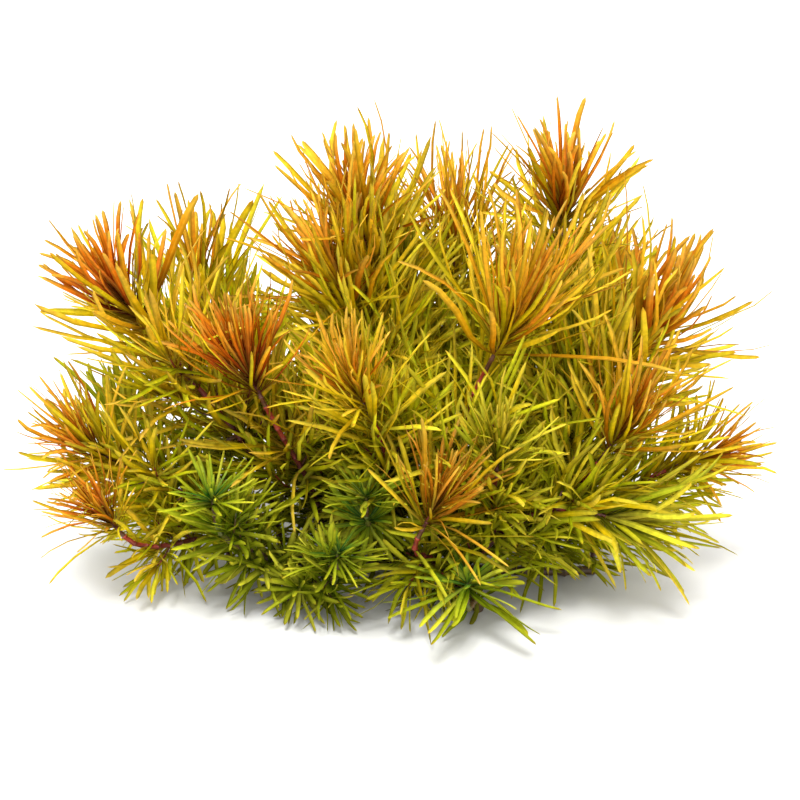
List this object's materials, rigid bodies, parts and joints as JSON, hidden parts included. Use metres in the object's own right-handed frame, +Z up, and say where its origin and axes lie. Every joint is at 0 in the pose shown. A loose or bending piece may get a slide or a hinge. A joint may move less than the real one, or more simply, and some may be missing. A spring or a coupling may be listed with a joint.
{
  "type": "aquarium ludwigia plant clump",
  "caption": "Bushy clump of an aquatic ludwigia: arching stems end in crowns of narrow orange and green whorled leaves, cut flat at the ground.",
  "frame": {"origin": "On the flat cut underside of the main creeping stem, at the middle of its length, at ground level.", "axes": "+X along the main creeping stem, to the right as the picture shows the clump; +Y away from the picture's viewer; +Z up."},
  "size_m": [0.3858, 0.2526, 0.2321],
  "materials": {
    "leaf_orange": "satin",
    "leaf_green": "satin",
    "leafy_stem": "satin",
    "creeping_stem": "matte"
  },
  "bodies": {
    "root": {"creeping_stem_main": "creeping_stem", "creeping_stem_front_left": "creeping_stem", "creeping_stem_front_right": "creeping_stem", "creeping_stem_back_left": "creeping_stem", "creeping_stem_back_right": "creeping_stem", "stem_left_high": "leafy_stem", "crown_left_high": "leaf_orange", "stem_left_middle": "leafy_stem", "crown_left_middle": "leaf_orange", "stem_left_low": "leafy_stem", "crown_left_low": "leaf_orange", "stem_left_plume": "leafy_stem", "crown_left_plume": "leaf_orange", "stem_inner_left": "leafy_stem", "crown_inner_left": "leaf_orange", "stem_middle_high": "leafy_stem", "crown_middle_high": "leaf_orange", "stem_centre_plume": "leafy_stem", "crown_centre_plume": "leaf_orange", "stem_right_middle": "leafy_stem", "crown_right_middle": "leaf_orange", "stem_right_high": "leafy_stem", "crown_right_high": "leaf_orange", "stem_right_far": "leafy_stem", "crown_right_far": "leaf_orange", "stem_front_left": "leafy_stem", "crown_front_left": "leaf_green", "stem_front_low": "leafy_stem", "crown_front_low": "leaf_green", "stem_front_rosette": "leafy_stem", "crown_front_rosette": "leaf_green", "stem_front_orange": "leafy_stem", "crown_front_orange": "leaf_orange", "stem_inner_right": "leafy_stem", "crown_inner_right": "leaf_green", "stem_right_low": "leafy_stem", "crown_right_low": "leaf_green", "stem_top_left": "leafy_stem", "crown_top_left": "leaf_orange", "stem_rear_left": "leafy_stem", "crown_rear_left": "leaf_orange", "stem_top_back": "leafy_stem", "crown_top_back": "leaf_orange", "stem_top_right": "leafy_stem", "crown_top_right": "leaf_orange", "stem_rear_middle": "leafy_stem", "crown_rear_middle": "leaf_orange", "stem_rear_right": "leafy_stem", "crown_rear_right": "leaf_orange", "side_shoot_inner_low": "leaf_green", "side_shoot_left_back": "leaf_green", "side_shoot_right_back": "leaf_green", "side_shoot_middle_back": "leaf_green", "side_shoot_rear_low_left": "leaf_green", "side_shoot_rear_low_right": "leaf_green"}
  },
  "joints": []
}
